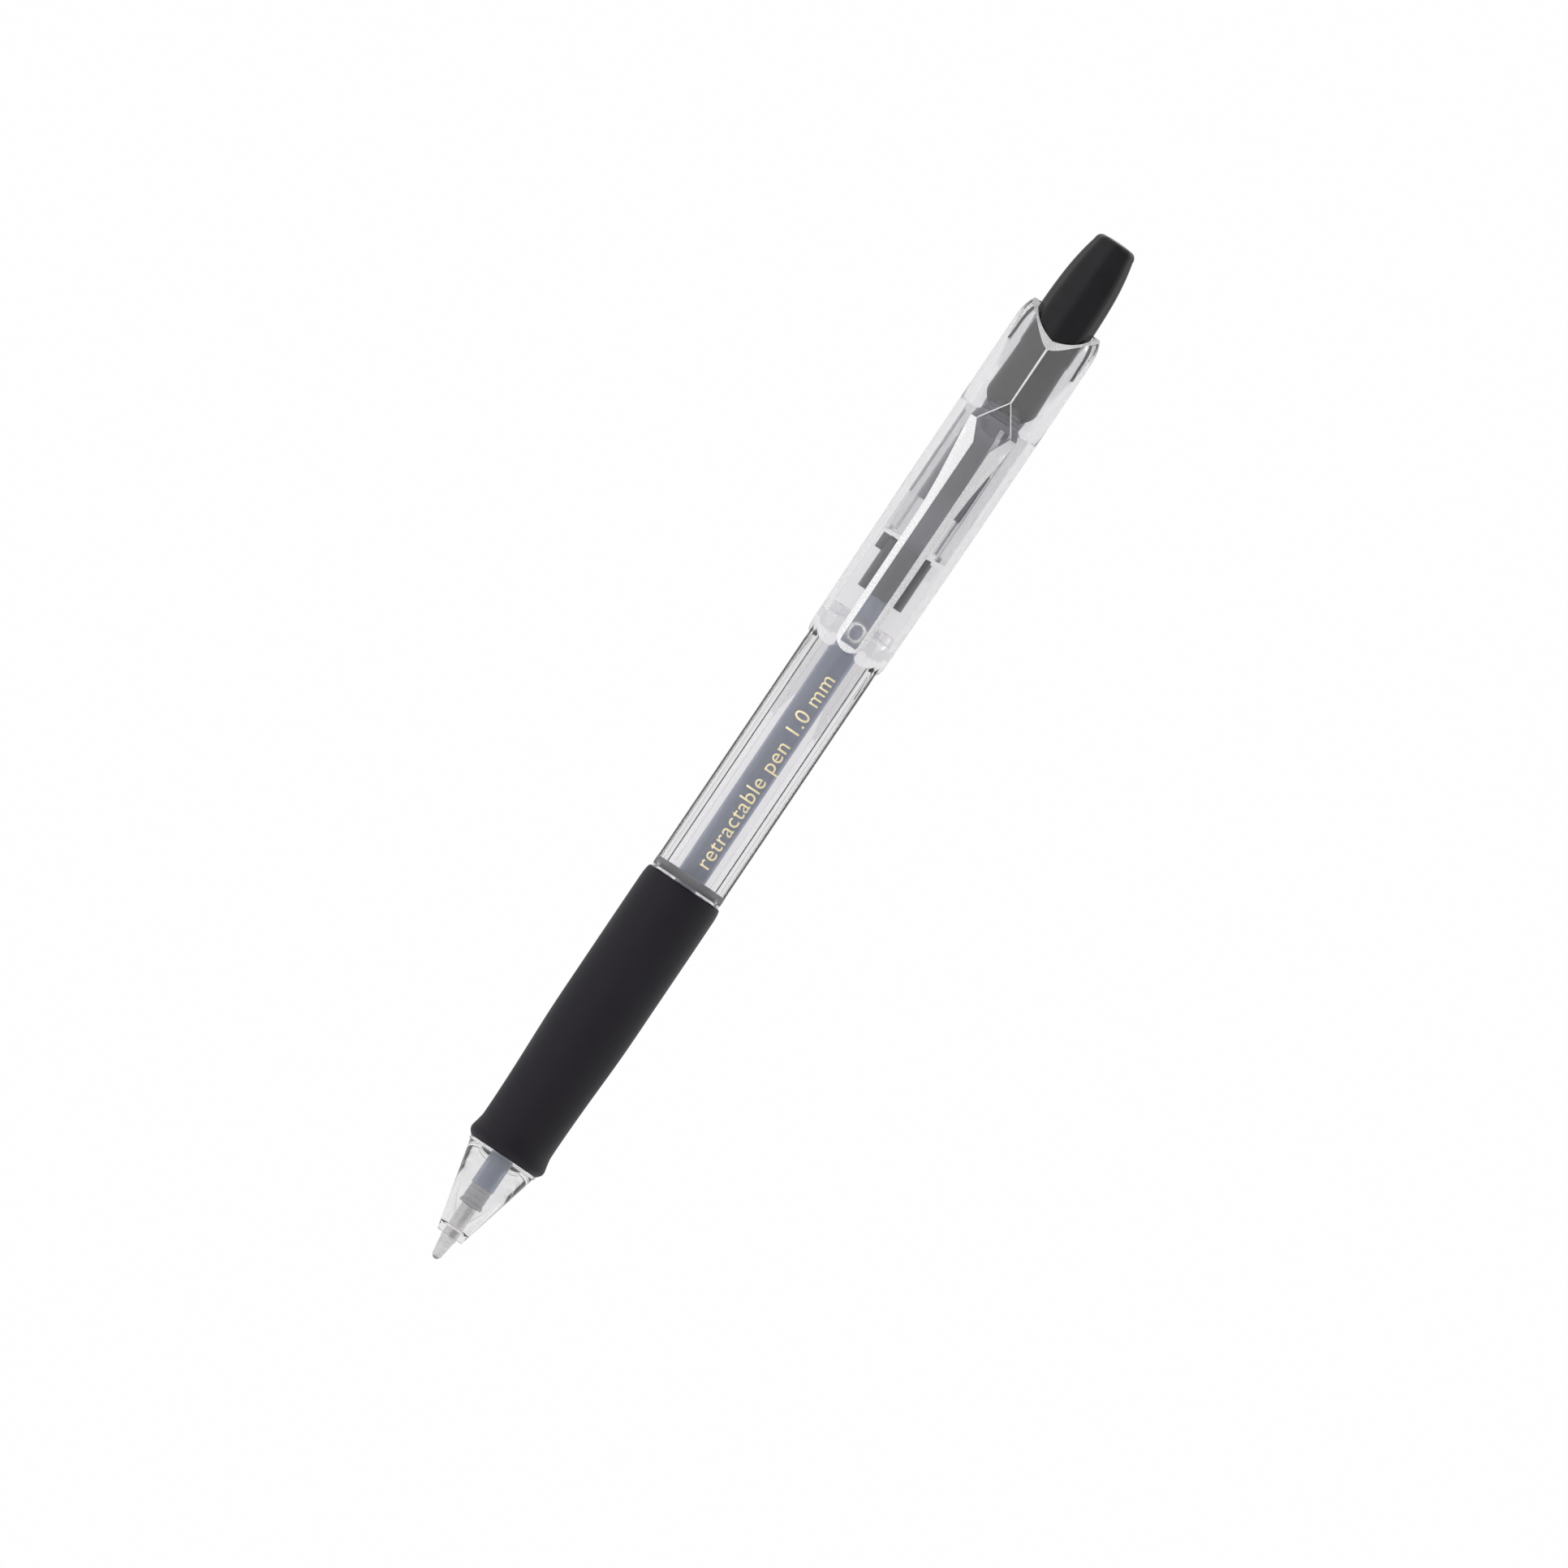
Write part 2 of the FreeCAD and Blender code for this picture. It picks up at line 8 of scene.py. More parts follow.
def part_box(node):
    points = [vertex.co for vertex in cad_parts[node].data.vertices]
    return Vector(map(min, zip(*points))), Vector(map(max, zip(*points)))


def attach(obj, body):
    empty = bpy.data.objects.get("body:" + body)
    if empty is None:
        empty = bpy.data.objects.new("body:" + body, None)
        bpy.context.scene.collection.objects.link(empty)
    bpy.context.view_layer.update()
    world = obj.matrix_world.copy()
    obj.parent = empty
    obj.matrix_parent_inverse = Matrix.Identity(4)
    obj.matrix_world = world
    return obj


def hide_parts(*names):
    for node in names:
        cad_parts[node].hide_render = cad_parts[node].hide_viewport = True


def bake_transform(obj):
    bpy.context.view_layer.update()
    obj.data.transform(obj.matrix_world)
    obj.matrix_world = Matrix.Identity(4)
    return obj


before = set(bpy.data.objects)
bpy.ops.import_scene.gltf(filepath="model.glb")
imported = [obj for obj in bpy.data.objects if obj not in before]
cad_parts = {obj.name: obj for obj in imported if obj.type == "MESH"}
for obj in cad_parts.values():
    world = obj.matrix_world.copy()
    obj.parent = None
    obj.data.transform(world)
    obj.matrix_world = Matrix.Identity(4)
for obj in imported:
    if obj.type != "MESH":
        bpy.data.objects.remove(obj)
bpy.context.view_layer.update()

# Everything is in millimetres until a mesh is stored; Blender's own unit is the metre.
MM = 0.001
TURN = 2 * math.pi
SEGMENTS = 128


# ---------------------------------------------------------------- sizes; some are read from the imported parts

def node_box(node):
    """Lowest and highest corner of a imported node, in millimetres."""
    low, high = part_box(node)
    return low / MM, high / MM


nose_low, nose_high = node_box("nose_cone")
barrel_high = node_box("barrel")[1]
grip_low, grip_high = node_box("rubber_grip")
sleeve_low, sleeve_high = node_box("clip_sleeve")
button_low, button_high = node_box("push_button")
tube_low, tube_high = node_box("refill_tube")
holder_low, holder_high = node_box("tip_holder")
nib_low, nib_high = node_box("nib_tip")
ball_high = node_box("writing_ball")[1]
ink_high = node_box("ink_column")[1]
grease_low, grease_high = node_box("ink_follower")
spring_low, spring_high = node_box("return_spring")

# Nose cone
NOSE_FRONT = nose_low.z
NOSE_HOLE_R = 1.15
NOSE_BACK = grip_low.z - 0.4
NOSE_BACK_R = 4.45
NOSE_BORE_R = 2.85

# Barrel
HEX_FLAT = 4.77
HEX_CORNER = 0.6
HEX_CORNER_R = 5.3
BODY_LOW = grip_high.z + 0.4
BORE_R = 3.0
SPRING_BORE_R = 2.75
SEAT_R = 3.8
GROOVE_LOW = 53.45
GROOVE_HIGH = 54.5
GROOVE_R = 4.4
COLLAR_LOW = 86.2
COLLAR_R = barrel_high.x
COLLAR_TOP = 89.7
SPIGOT_R = 4.3
SPIGOT_TOP = barrel_high.z

# Clip sleeve
SLEEVE_LOW = COLLAR_TOP + 0.04
SLEEVE_LOW_R = 5.2
SLEEVE_TAPER_TOP = 108.0
SLEEVE_R = sleeve_high.x
SLEEVE_BORE_R = 4.34
SLEEVE_SHOULDER = 119.5
HEAD_LOW = 118.5
HEAD_BORE_R = 3.95
RIM_Z = sleeve_high.z
RIM_FRONT_Z = 129.7
RIM_ROUND_LOW = 130.6
RIDGE_FRONT_Y = -5.8
MOUTH_SIDE_RISE = 0.23
MOUTH_BACK_RISE = 0.65
CLIP_END_Z = sleeve_low.z
CLIP_WIDTH = 1.95
CLIP_RIB = 1.115
CLIP_INNER_Y = -6.25

# Refill
TUBE_R = tube_high.y
TUBE_BORE_R = 1.05

# Push button
BUTTON_TOP = button_high.z
SKIRT_R = 3.5
SKIRT_END_R = 3.6
SOCKET_R = 2.48
SOCKET_TOP = 131.0


# ---------------------------------------------------------------- shader writing

class Value:
    """A socket or number that Python's operators turn into Math nodes."""

    def __init__(self, paint, socket):
        self.paint = paint
        self.socket = socket

    def _math(self, operation, first, second=0.0):
        return self.paint.node("ShaderNodeMath", {"operation": operation}, {0: first, 1: second})

    def __add__(self, other):
        return self._math("ADD", self, other)

    def __radd__(self, other):
        return self._math("ADD", other, self)

    def __sub__(self, other):
        return self._math("SUBTRACT", self, other)

    def __rsub__(self, other):
        return self._math("SUBTRACT", other, self)

    def __mul__(self, other):
        return self._math("MULTIPLY", self, other)

    def __rmul__(self, other):
        return self._math("MULTIPLY", other, self)


class Shader:
    """A shader node tree under construction."""

    def __init__(self, tree):
        self.tree = tree

    def put(self, socket, value):
        """Links a value to a socket, or sets the socket's own number or colour."""
        if isinstance(value, Value):
            self.tree.links.new(value.socket, socket)
        elif isinstance(value, (tuple, list)) and len(value) == 3 and socket.type == "RGBA":
            socket.default_value = (*value, 1.0)
        else:
            socket.default_value = value

    def node(self, kind, settings=None, inputs=None, output=0):
        """Adds a node: its settings first, then its inputs by name or number. Returns one output."""
        made = self.tree.nodes.new(kind)
        for key, value in (settings or {}).items():
            setattr(made, key, value)
        for key, value in (inputs or {}).items():
            self.put(made.inputs[key], value)
        return Value(self, made.outputs[output])

    def ramp(self, value, low, high, start=0.0, end=1.0):
        """Value mapped from the range low to high onto start to end, and held at the ends."""
        settings = {"clamp": True}
        return self.node("ShaderNodeMapRange", settings, {0: value, 1: low, 2: high, 3: start, 4: end})


class Paint(Shader):
    """A material under construction: a Principled surface and the nodes that feed it."""

    def __init__(self, name, **constants):
        self.material = bpy.data.materials.new(name)
        self.material.use_nodes = True
        super().__init__(self.material.node_tree)
        self.surface = self.tree.nodes["Principled BSDF"]
        self.set(**constants)

    def set(self, **sockets):
        """Sets sockets of the surface; underscores in the names stand for spaces."""
        for name, value in sockets.items():
            self.put(self.surface.inputs[name.replace("_", " ")], value)

    def place(self, scale=(1.0, 1.0, 1.0)):
        """Object coordinates, stretched by a scale for each axis."""
        coordinates = self.node("ShaderNodeTexCoord", output="Object")
        return self.node("ShaderNodeMapping", {}, {"Vector": coordinates, "Scale": scale})

    def noise(self, size, detail=3.0, stretch=(1.0, 1.0, 1.0), roughness=0.5):
        """Soft random value whose blotches are about size metres across."""
        inputs = {"Vector": self.place(stretch), "Scale": 1.0 / size}
        inputs.update({"Detail": detail, "Roughness": roughness})
        return self.node("ShaderNodeTexNoise", {}, inputs)

    def mix(self, factor, first, second):
        """Colour that goes from first to second with the factor."""
        made = self.tree.nodes.new("ShaderNodeMix")
        made.data_type = "RGBA"
        for key, value in ((0, factor), (6, first), (7, second)):
            self.put(made.inputs[key], value)
        return Value(self, made.outputs[2])

    def bump(self, height, distance, strength=1.0):
        """Normal that follows a height, whose full range is distance metres deep."""
        inputs = {"Height": height, "Distance": distance, "Strength": strength}
        self.set(Normal=self.node("ShaderNodeBump", {}, inputs))


# ---------------------------------------------------------------- mesh making

def finish_mesh(bm, name, sharp=32.0):
    """Welds, closes and smooths a mesh made in millimetres, and links its object."""
    bmesh.ops.remove_doubles(bm, verts=bm.verts, dist=1e-4)
    bmesh.ops.delete(bm, geom=[e for e in bm.edges if not e.link_faces], context="EDGES")
    bmesh.ops.recalc_face_normals(bm, faces=bm.faces)
    bmesh.ops.scale(bm, vec=(MM, MM, MM), verts=bm.verts)
    mesh = bpy.data.meshes.new(name)
    bm.to_mesh(mesh)
    bm.free()
    mesh.shade_smooth()
    mesh.set_sharp_from_angle(angle=math.radians(sharp))
    piece = bpy.data.objects.new(name, mesh)
    bpy.context.scene.collection.objects.link(piece)
    return piece


def shell(name, columns, sharp=32.0, close=True):
    """Closed skin over columns of points; each column is a loop, and the columns go round."""
    bm = bmesh.new()
    grid = [[bm.verts.new(point) for point in column] for column in columns]
    count = len(grid[0])
    last = len(grid) if close else len(grid) - 1
    for i in range(last):
        here, there = grid[i], grid[(i + 1) % len(grid)]
        for j in range(count):
            k = (j + 1) % count
            bm.faces.new((here[j], there[j], there[k], here[k]))
    if not close:
        bm.faces.new(grid[0])
        bm.faces.new(reversed(grid[-1]))
    return finish_mesh(bm, name, sharp)


def soften(outline, fillet, steps=4):
    """Closed outline whose corners are rounded. A point's third number is its own fillet."""
    flat = [Vector(point[:2]) for point in outline]
    soft = []
    for i, corner in enumerate(flat):
        size = outline[i][2] if len(outline[i]) > 2 else fillet
        before, after = flat[i - 1] - corner, flat[(i + 1) % len(flat)] - corner
        if size <= 0:
            soft.append(corner)
            continue
        start = corner + before.normalized() * min(size, 0.48 * before.length)
        end = corner + after.normalized() * min(size, 0.48 * after.length)
        for k in range(steps + 1):
            t = k / steps
            soft.append(start * (1 - t) ** 2 + corner * (2 * t * (1 - t)) + end * t * t)
    return soft


def at(angle, radius, height):
    """Point at an angle round the axis; angle 0 is the clip's side, and it grows towards +X."""
    return Vector((radius * math.sin(angle), -radius * math.cos(angle), height))


def angles(count=SEGMENTS):
    return [TURN * i / count for i in range(count)]


def lathe(name, outline, fillet=0.06, segments=SEGMENTS, sharp=32.0):
    """Turned piece from a closed outline of (radius, height) or (radius, height, fillet) points."""
    profile = soften(outline, fillet)
    return shell(name, [[at(a, r, z) for r, z in profile] for a in angles(segments)], sharp)


def smooth_copy(node, name, sharp=28.0):
    """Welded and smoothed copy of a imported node, to stand for it."""
    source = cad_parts[node].data
    bm = bmesh.new()
    made = [bm.verts.new(v.co / MM) for v in source.vertices]
    for polygon in source.polygons:
        bm.faces.new([made[i] for i in polygon.vertices])
    return finish_mesh(bm, name, sharp)


def apply_modifiers(piece):
    """Turns what a piece's modifiers make into its own plain mesh."""
    graph = bpy.context.evaluated_depsgraph_get()
    mesh = bpy.data.meshes.new_from_object(piece.evaluated_get(graph))
    piece.modifiers.clear()
    piece.data = mesh


def joined(base, others, sharp=30.0):
    """One closed piece from overlapping closed ones."""
    for other in others:
        modifier = base.modifiers.new("union", "BOOLEAN")
        modifier.operation = "UNION"
        modifier.solver = "EXACT"
        modifier.object = other
    bpy.context.view_layer.update()
    apply_modifiers(base)
    for other in others:
        bpy.data.objects.remove(other)
    base.data.shade_smooth()
    base.data.set_sharp_from_angle(angle=math.radians(sharp))
    return base


def curve_through(stations, z):
    """Tuple of values at a height, on a smooth curve through (height, value, value ...) stations."""
    last = len(stations) - 2
    i = max(0, min(last, sum(1 for s in stations[1:-1] if s[0] <= z)))
    low, high = stations[i], stations[i + 1]
    before, after = stations[max(i - 1, 0)], stations[min(i + 2, len(stations) - 1)]
    span = high[0] - low[0]
    t = min(max((z - low[0]) / span, 0.0), 1.0)
    values = []
    for k in range(1, len(low)):
        slope_low = (high[k] - before[k]) / (high[0] - before[0]) * span
        slope_high = (after[k] - low[k]) / (after[0] - low[0]) * span
        values.append(
            low[k] * (2 * t ** 3 - 3 * t ** 2 + 1) + slope_low * (t ** 3 - 2 * t ** 2 + t)
            + high[k] * (3 * t ** 2 - 2 * t ** 3) + slope_high * (t ** 3 - t ** 2)
        )
    return tuple(values)


def straight_through(stations, z):
    """Tuple of values at a height, straight between (height, value, value ...) stations."""
    z = min(max(z, stations[0][0]), stations[-1][0])
    for low, high in zip(stations, stations[1:]):
        if z <= high[0]:
            t = (z - low[0]) / (high[0] - low[0])
            return tuple(a + (b - a) * t for a, b in zip(low[1:], high[1:]))


def spread(low, high, count):
    """Evenly spaced numbers from low to high, both included."""
    return [low + (high - low) * i / (count - 1) for i in range(count)]


def put(piece, body, slot, material, *nodes):
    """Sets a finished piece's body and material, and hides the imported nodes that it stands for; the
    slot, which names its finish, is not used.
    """
    piece.data.materials.clear()
    piece.data.materials.append(material)
    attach(piece, body)
    if nodes:
        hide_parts(*nodes)
    return piece


# ---------------------------------------------------------------- refill

def make_ball():
    """Ground ball, from a half circle with its poles on the axis."""
    radius = ball_high.x
    arc = [(radius * math.sin(a), radius - radius * math.cos(a), 0) for a in spread(0, math.pi, 25)]
    return lathe("ball", arc, segments=48, sharp=80)


def make_nib():
    """Turned nib: rolled lip round the ball, cone with fine turning steps, straight body, shank."""
    lip, body, shank = 0.58, nib_high.x, 0.72
    cone_top, shoulder = 2.8, holder_low.z - 0.02
    socket = ball_high.x + 0.015
    outline = [
        (socket, nib_low.z + 0.14, 0),
        (lip - 0.05, nib_low.z, 0.02),
        (lip, nib_low.z + 0.06, 0.02),
    ]
    for z in spread(nib_low.z + 0.3, cone_top - 0.5, 7):
        r = lip + (body - 0.1 - lip) * (z - nib_low.z) / (cone_top - nib_low.z - 0.35)
        outline += [(r - 0.012, z, 0.02), (r + 0.006, z + 0.04, 0.02)]
    outline += [
        (body - 0.12, cone_top - 0.35, 0.05),
        (body - 0.1, cone_top - 0.12, 0.03),
        (body, cone_top, 0.05),
        (body, shoulder, 0.05),
        (shank, shoulder, 0.03),
        (shank, nib_high.z, 0.05),
        (0.25, nib_high.z, 0.02),
        (0.25, 2 * ball_high.x + 0.01, 0.02),
        (socket - 0.04, ball_high.x + 0.26, 0.02),
        (socket, ball_high.x + 0.02, 0.02),
    ]
    return lathe("nib", outline, segments=96, sharp=24)


def make_holder():
    """Frosted plastic holder between the nib and the tube, with a small front flange and two ridges."""
    flange, body, plug = holder_high.x, 1.36, TUBE_BORE_R - 0.03
    front, back = holder_low.z, tube_low.z - 0.02
    outline = [
        (0.74, front, 0.03),
        (flange, front, 0.06),
        (flange, front + 0.43, 0.06),
        (body, front + 0.58, 0.03),
    ]
    for z in (front + 1.0, front + 1.9):
        outline += [(body, z, 0.03), (body + 0.05, z + 0.08, 0.04)]
        outline += [(body + 0.05, z + 0.2, 0.04), (body, z + 0.28, 0.03)]
    outline += [
        (body, back, 0.05),
        (plug, back, 0.03),
        (plug, holder_high.z - 0.2, 0.05),
        (plug - 0.17, holder_high.z, 0.03),
        (0.5, holder_high.z, 0.03),
        (0.5, nib_high.z + 0.05, 0.03),
        (0.74, nib_high.z + 0.05, 0.03),
    ]
    return lathe("nib_holder", outline, segments=96)


def make_tube():
    """Extruded tube with two pinched ears for the spring."""
    outline = [
        (TUBE_BORE_R, tube_low.z),
        (TUBE_R, tube_low.z),
        (TUBE_R, tube_high.z),
        (TUBE_BORE_R, tube_high.z),
    ]
    tube = lathe("ink_tube", outline, 0.08, segments=96)
    ears = []
    for side in (-1, 1):
        columns = []
        for x in spread(TUBE_R - 0.3, tube_high.x, 6):
            half = 0.8 - 0.25 * (x - TUBE_R) / (tube_high.x - TUBE_R)
            outline = [(-half, 38.0), (half, 38.0), (half, 39.2), (-half, 39.2)]
            columns.append([Vector((side * x, y, z)) for y, z in soften(outline, 0.2)])
        ears.append(shell("ear", columns, close=False))
    return joined(tube, ears)


def make_ink():
    """Ink in the tube, with a curved front that narrows into the holder's channel."""
    radius = TUBE_BORE_R - 0.02
    outline = [
        (0, 2 * ball_high.x + 0.1, 0),
        (0.23, 2 * ball_high.x + 0.1),
        (0.23, nib_high.z + 0.1),
        (0.47, nib_high.z + 0.1),
        (0.47, holder_high.z + 0.05),
        (radius, holder_high.z + 0.05),
        (radius, ink_high.z, 0.05),
        (0, ink_high.z - 0.02, 0),
    ]
    return lathe("ink", outline, 0.04, segments=64)


def make_grease():
    """Grease plug on the ink, with a hollow surface on its free side."""
    radius = TUBE_BORE_R - 0.02
    hollow = [(radius * s, grease_high.z - 0.45 * (1 - s * s), 0) for s in spread(1, 0, 9)]
    outline = [(0, grease_low.z, 0), (radius, grease_low.z, 0.05)] + hollow
    return lathe("grease_plug", outline, segments=64)


# ---------------------------------------------------------------- front half

def make_nose():
    """Clear nose cone with a stepped bore and a spigot."""
    hole_step = 4.2
    outline = [
        (NOSE_HOLE_R, NOSE_FRONT, 0.08),
        (1.72, NOSE_FRONT, 0.16),
        (1.9, NOSE_FRONT + 0.75, 0.1),
        (NOSE_BACK_R, NOSE_BACK, 0.04),
        (nose_high.x, NOSE_BACK, 0.08),
        (nose_high.x, grip_low.z - 0.02, 0.08),
        (3.25, grip_low.z - 0.02, 0.04),
        (3.25, nose_high.z, 0.2),
        (NOSE_BORE_R, nose_high.z, 0.08),
        (NOSE_BORE_R, 10.3, 0.7),
        (NOSE_HOLE_R + 0.35, hole_step + 0.3, 0.2),
        (NOSE_HOLE_R, hole_step, 0.1),
    ]
    return lathe("nose_cone_clear", outline, segments=192)


def make_grip():
    """Rubber sleeve with a rolled lip, a shallow waist, and a rounded back edge."""
    low, high, radius, bore = grip_low.z, grip_high.z, grip_high.x, 3.83
    stations = [
        (low, 4.58),
        (low + 0.5, 5.02),
        (low + 1.0, 5.15),
        (low + 1.9, 4.97),
        (low + 3.0, 4.80),
        (low + 9.0, 4.86),
        (32.0, radius - 0.03),
        (38.0, radius),
        (high - 1.6, radius),
        (high - 0.7, radius - 0.05),
        (high - 0.15, radius - 0.16),
    ]
    heights = spread(low, low + 3.0, 20) + spread(low + 4, high - 2.0, 34)
    heights += spread(high - 1.6, high - 0.15, 8)
    outline = [(curve_through(stations, z)[0], z, 0) for z in heights]
    outline += [(radius - 0.34, high, 0.05), (bore, high, 0.05), (bore, low, 0.05)]
    return lathe("grip", outline, segments=160)


# ---------------------------------------------------------------- barrel

def hexagon(angle):
    """Radius of the barrel's hexagon: flat sides, rounded corners, one corner towards the clip."""
    away = abs((angle + math.pi / 6) % (math.pi / 3) - math.pi / 6)
    corner = HEX_FLAT / math.cos(math.pi / 6)
    start = corner * math.sin(math.pi / 6) - HEX_CORNER
    from_flat = math.pi / 6 - away
    if HEX_FLAT * math.tan(from_flat) < start:
        return min(HEX_FLAT / math.cos(from_flat), HEX_CORNER_R)
    low, high = 0.0, 0.5
    for _ in range(24):
        t = (low + high) / 2
        along = HEX_FLAT - HEX_CORNER * t * t * math.sin(math.pi / 3)
        across = start + 2 * HEX_CORNER * t * (1 - t) + HEX_CORNER * t * t * (1 + math.cos(math.pi / 3))
        if math.atan2(across, along) < from_flat:
            low = t
        else:
            high = t
    return min(math.hypot(along, across), HEX_CORNER_R)


def collar(z):
    """Radius of the bull-nosed collar at a height."""
    rise = min(max((z - COLLAR_LOW) / 1.8, 0.0), 1.0)
    return COLLAR_R - 0.75 * (1 - math.sqrt(1 - (1 - rise) ** 2))


def frost_and_shade_groove(barrel, material):
    """Gives the groove behind the grip a second, frosted finish; its grey tint is painted shade, a dark
    ring where the groove is shaded.
    """
    barrel.data.materials.append(material)
    for face in barrel.data.polygons:
        x, y, z = face.center / MM
        if GROOVE_LOW < z < GROOVE_HIGH and BORE_R + 0.05 < math.hypot(x, y) < GROOVE_R + 0.05:
            face.material_index = 1


def make_barrel():
    """Clear barrel: seat for the grip, thin flange, six-sided body, bull-nosed collar and spigot."""
    collar_heights = spread(COLLAR_LOW - 0.02, COLLAR_LOW + 1.9, 18)
    columns = []
    for a in angles(192):
        side = hexagon(a)
        outline = [(SEAT_R, grip_low.z, 0.1), (SEAT_R, grip_high.z + 0.02, 0.05)]
        outline += [(4.74, grip_high.z + 0.02, 0.06), (4.74, BODY_LOW - 0.02, 0.04)]
        outline += [(side, BODY_LOW, 0.06)]
        outline += [(side, z, 0) for z in spread(BODY_LOW + 1.5, COLLAR_LOW - 0.8, 8)]
        outline += [(max(min(side, COLLAR_R), collar(z)), z, 0) for z in collar_heights]
        outline += [
            (COLLAR_R, COLLAR_TOP, 0.08),
            (SPIGOT_R, COLLAR_TOP, 0.04),
            (SPIGOT_R, SPIGOT_TOP, 0.25),
            (BORE_R, SPIGOT_TOP, 0.06),
            (BORE_R, GROOVE_HIGH, 0.05),
            (GROOVE_R, GROOVE_HIGH, 0.08),
            (BORE_R + 0.2, GROOVE_LOW, 0.08),
            (SPRING_BORE_R, GROOVE_LOW, 0.05),
            (SPRING_BORE_R, 21.5, 0.1),
            (1.75, 21.5, 0.08),
            (1.75, 20.0, 0.08),
            (3.28, 20.0, 0.06),
            (3.28, grip_low.z, 0.06),
        ]
        columns.append([at(a, r, z) for r, z in soften(outline, 0.06)])
    return shell("barrel_clear", columns)


# ---------------------------------------------------------------- clip sleeve

# The head's front ridge and the half width of its two facets, by height
HEAD = [
    (HEAD_LOW, -6.35, 3.3),
    (122.0, -6.9, 3.75),
    (RIM_FRONT_Z, RIDGE_FRONT_Y, 4.85),
    (RIM_Z + 1.0, RIDGE_FRONT_Y + 0.8, 5.1),
]
FACET_COLUMNS = 22
SIDE_COLUMNS = 58

# The tongue's half width, rib half width, front, bevel and back Y, and back half width, by height.
# Its front face is a flat rib that widens into an arrow head and runs out at the head's ridge.
CLIP = [
    (CLIP_END_Z - 0.5, CLIP_WIDTH, CLIP_RIB, -7.25, -6.75, CLIP_INNER_Y, CLIP_RIB),
    (106.0, CLIP_WIDTH + 0.12, CLIP_RIB, -7.72, -6.95, CLIP_INNER_Y, CLIP_RIB),
    (110.0, CLIP_WIDTH + 0.4, CLIP_RIB, -7.80, -6.95, CLIP_INNER_Y, 1.3 * CLIP_RIB),
    (115.8, 3.0, CLIP_RIB, -7.84, -6.85, CLIP_INNER_Y + 0.15, 2.2),
    (118.5, 3.25, 2.4, -7.5, -6.4, -4.8, 3.1),
    (122.0, 1.6, 0.08, -6.85, -5.45, -4.5, 1.5),
]


def head_values(z):
    """Ridge and facet half width at a height; the facets never reach past the round sides."""
    ridge, half = straight_through(HEAD, z)
    return ridge, min(half, 0.96 * sleeve_profile(z))


def sleeve_profile(z):
    """Radius of the sleeve outside its facets."""
    if z < SLEEVE_TAPER_TOP:
        taper = (SLEEVE_R - SLEEVE_LOW_R) * (z - SLEEVE_LOW) / (SLEEVE_TAPER_TOP - SLEEVE_LOW)
        return SLEEVE_LOW_R + taper
    over = max(z - RIM_ROUND_LOW, 0.0) / (RIM_Z + 0.35 - RIM_ROUND_LOW)
    return SLEEVE_R - 1.35 * (1 - math.sqrt(max(1 - over ** 2.3, 0.0)))


def head_radius(angle, z):
    """Radius of the head: two flat facets that meet at the front ridge, round elsewhere."""
    ridge, half = head_values(z)
    side = sleeve_profile(z)
    slope = (-math.sqrt(side ** 2 - half ** 2) - ridge) / half
    sideways = math.hypot(math.sin(angle), 0.014) - 0.004
    facet = -ridge / max(math.cos(angle) + slope * sideways, 0.05)
    return facet if abs(math.sin(angle)) < half / side and math.cos(angle) > 0 else side


def mouth_height(x, y):
    """Height of the mouth's sloping edge over a point."""
    return min(RIM_Z, RIM_FRONT_Z + MOUTH_SIDE_RISE * abs(x) + MOUTH_BACK_RISE * (y - RIDGE_FRONT_Y))


def column_angle(share, z):
    """Angle of a column: shares up to 1 lie on the facet, and those up to 2 go round the back."""
    edge = math.asin(head_values(z)[1] / sleeve_profile(z))
    size = min(abs(share), 1.0) ** 1.6 * edge + max(abs(share) - 1.0, 0.0) * (math.pi - edge)
    return math.copysign(size, share)


def sleeve_column(share):
    """Closed loop of points up the outside, over the mouth's edge, and down the bore."""
    on_facet = abs(share) <= 1
    # On a facet, the height of the mouth's edge is taken nearer the ridge than the column is.
    nearer = min(abs(share), 0.999) if on_facet else 1.0
    top = RIM_FRONT_Z
    for _ in range(12):
        a = column_angle(share, top)
        r = head_radius(nearer * a, top)
        top = mouth_height(r * math.sin(a), -r * math.cos(a))
    low_a = column_angle(share, HEAD_LOW)
    outline = [(low_a, sleeve_profile(SLEEVE_LOW), SLEEVE_LOW)]
    outline += [(low_a, sleeve_profile(z), z) for z in spread(94.0, HEAD_LOW - 0.3, 7)]
    for z in spread(HEAD_LOW, top, 26):
        a = column_angle(share, z)
        r = head_radius(a * 0.9999, z) if on_facet else sleeve_profile(z)
        outline.append((a, r, z))
    mouth_a = outline[-1][0]
    bore_top = mouth_height(HEAD_BORE_R * math.sin(mouth_a), -HEAD_BORE_R * math.cos(mouth_a))
    outline.append((mouth_a, HEAD_BORE_R, bore_top))
    for z in spread(bore_top - 0.4, 122.0, 6):
        a = mouth_a + (low_a - mouth_a) * (bore_top - z) / (bore_top - SLEEVE_SHOULDER)
        outline.append((a, HEAD_BORE_R, z))
    outline += [
        (low_a, HEAD_BORE_R, SLEEVE_SHOULDER),
        (low_a, SLEEVE_BORE_R, SLEEVE_SHOULDER - 0.08),
        (low_a, SLEEVE_BORE_R, 104.0),
        (low_a, SLEEVE_BORE_R, SLEEVE_LOW),
    ]
    return [at(*point) for point in outline]


